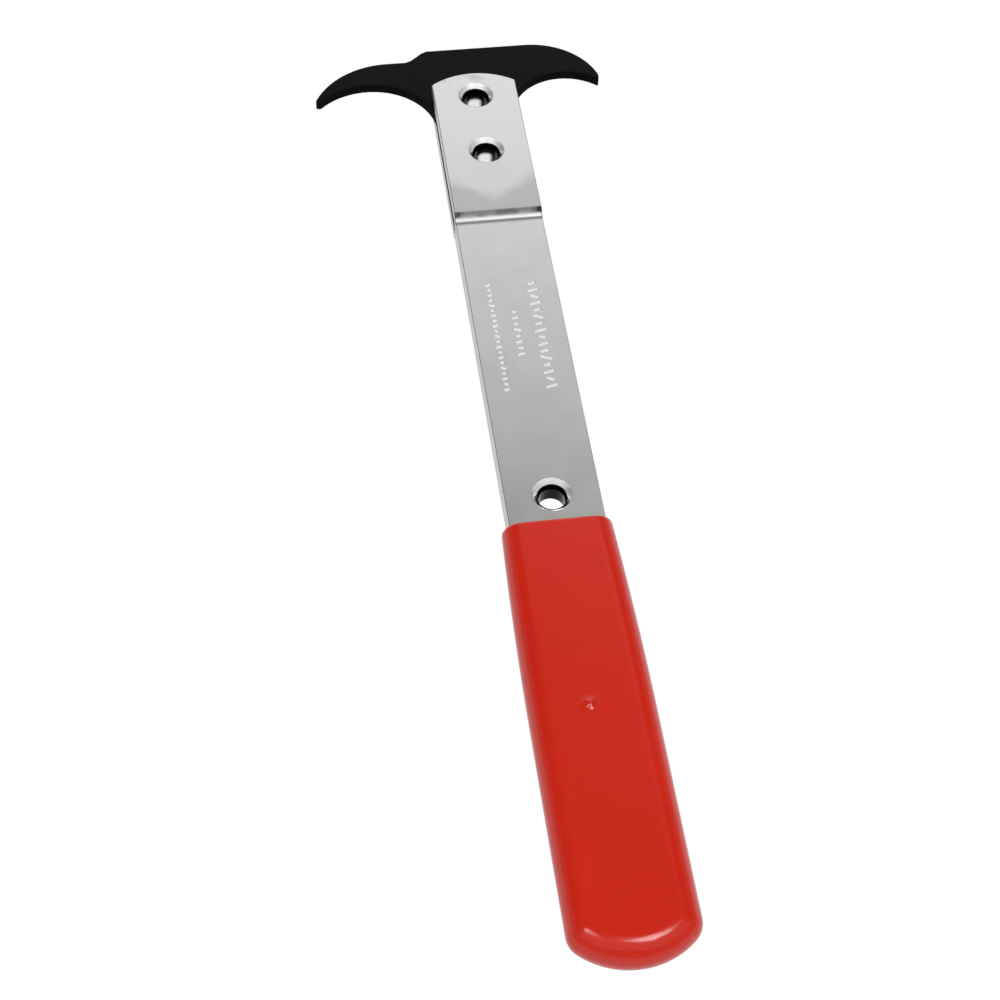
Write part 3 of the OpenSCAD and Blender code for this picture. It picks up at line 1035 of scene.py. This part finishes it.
low = add(dome, "ShaderNodeMapRange",
          {"Value": (axis, "Z"), "From Min": 0.45, "From Max": 0.3}, **SOFT)
walls = add(dome, "ShaderNodeMix",
            {"Factor": (low, "Result"), "A": linear(DARK), "B": linear(LOW_WALL)},
            data_type="RGBA")
room = add(dome, "ShaderNodeMix",
           {"Factor": (in_panel, "Value"), "A": (walls, "Result"), "B": (panel, "Color")},
           data_type="RGBA")
# The pale patch high on the viewer's side
across = add(dome, "ShaderNodeMath", {0: (sideways, "Value"), 1: PATCH_HALF[0]},
             operation="DIVIDE")
from_patch = add(dome, "ShaderNodeMath", {0: (axis, "Y"), 1: PATCH_Y}, operation="ADD")
forward = add(dome, "ShaderNodeMath", {0: (from_patch, "Value"), 1: PATCH_HALF[1]},
              operation="DIVIDE")
forward = add(dome, "ShaderNodeMath", {0: (forward, "Value")}, operation="ABSOLUTE")
furthest = add(dome, "ShaderNodeMath",
               {0: (across, "Value"), 1: (forward, "Value")}, operation="MAXIMUM")
near = add(dome, "ShaderNodeMapRange",
           {"Value": (furthest, "Value"), "From Min": 0.8, "From Max": 1.1,
            "To Min": 1, "To Max": 0}, **SOFT)
high = add(dome, "ShaderNodeMapRange",
           {"Value": (axis, "Z"), "From Min": 0.38, "From Max": 0.5}, **SOFT)
in_patch = add(dome, "ShaderNodeMath",
               {0: (near, "Result"), 1: (high, "Result")}, operation="MULTIPLY")
all_round = add(dome, "ShaderNodeMix",
                {"Factor": (in_patch, "Value"), "A": (room, "Result"), "B": linear("E0E0E0")},
                data_type="RGBA")
sky = add(dome, "ShaderNodeBackground", {"Color": (all_round, "Result"), "Strength": 1.0})
add(dome, "ShaderNodeOutputWorld", {"Surface": (sky, "Background")})
print("dome:", len(dome.nodes), "nodes, panel of", len(stops), "greys")


# %% Lamps
def soft_box(name, place, target, size, power):
    """A square area light that faces the target."""
    light = bpy.data.lights.new(name, "AREA")
    light.size = size
    light.energy = power
    lamp = bpy.data.objects.new(name, light)
    lamp.location = place
    lamp.rotation_euler = (Vector(target) - Vector(place)).to_track_quat("-Z", "Y").to_euler()
    lamp.visible_camera = False
    bpy.context.scene.collection.objects.link(lamp)
    return lamp


soft_box("left_box", (-0.55, -0.25, 1.3), (0, -0.05, 0), 0.35, 4)
soft_box("right_box", (0.33, -0.3, 1.3), (0, -0.05, 0), 0.42, 7)
overhead = soft_box("overhead_fill", (0, 0.05, 1.2), (0, 0.05, 0), 3, 7.5)
overhead.visible_glossy = False

# %% [markdown]
# ## Camera
#
# The camera stands past the end of the grip and above it, about half a metre from the shank
# rivet, and looks up the handle. From so near, the grip looks wider than the head, although
# the bar has the same width all along. The three turns are a roll, a pan and a tilt.

# %% Camera
SENSOR = 36
LENS = 74.34
PLACE = (-0.07283, -0.31269, 0.43265)
camera_data = bpy.data.cameras.new("camera")
camera_data.sensor_width = SENSOR
camera_data.lens = LENS
camera = bpy.data.objects.new("camera", camera_data)
bpy.context.scene.collection.objects.link(camera)
turn = (Matrix.Rotation(math.radians(5.33), 4, "Z") @ Matrix.Rotation(math.radians(6.35), 4, "Y")
        @ Matrix.Rotation(math.radians(-36.04), 4, "X"))
camera.matrix_world = Matrix.Translation(PLACE) @ turn.transposed()
bpy.context.scene.camera = camera
bpy.context.scene.view_settings.view_transform = "Standard"
print("camera", round(camera.location.length, 3), "m from the shank rivet")
